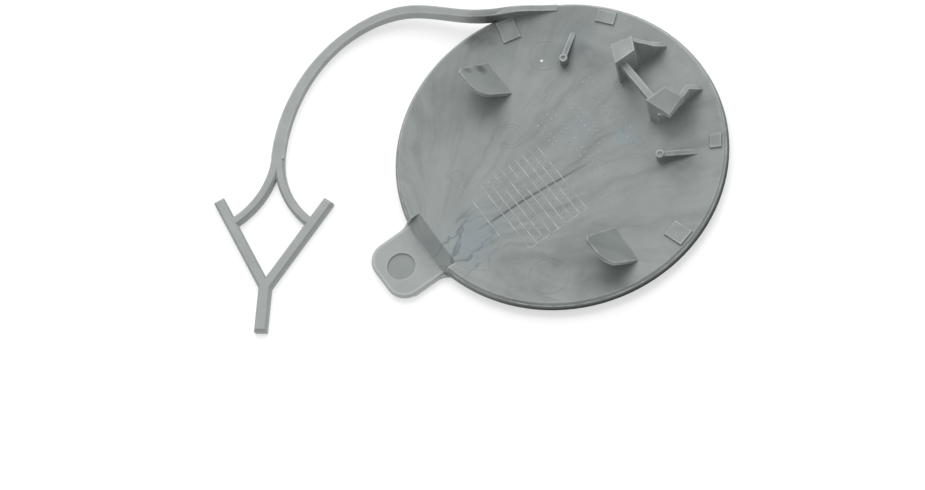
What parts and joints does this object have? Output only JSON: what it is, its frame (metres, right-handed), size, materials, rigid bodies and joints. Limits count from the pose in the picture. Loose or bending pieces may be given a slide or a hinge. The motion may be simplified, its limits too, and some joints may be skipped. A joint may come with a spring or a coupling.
{
  "type": "bumper tow hook cover",
  "caption": "Round moulded cover for a bumper's towing eye opening, with snap hooks, guide flaps, a locating tab and a tether strap ending in an arrow-shaped anchor.",
  "frame": {"origin": "centre of the disc's flat outer face, on the disc's axis", "axes": "+Z out of the inner side, +X from the locating tab to the snap hooks, +Y to the side that the tether leaves from"},
  "size_m": [0.1206, 0.0977, 0.013],
  "materials": {
    "cover_plastic": "moulded, satin, grey"
  },
  "bodies": {
    "root": {"cover": "cover_plastic"}
  },
  "joints": []
}
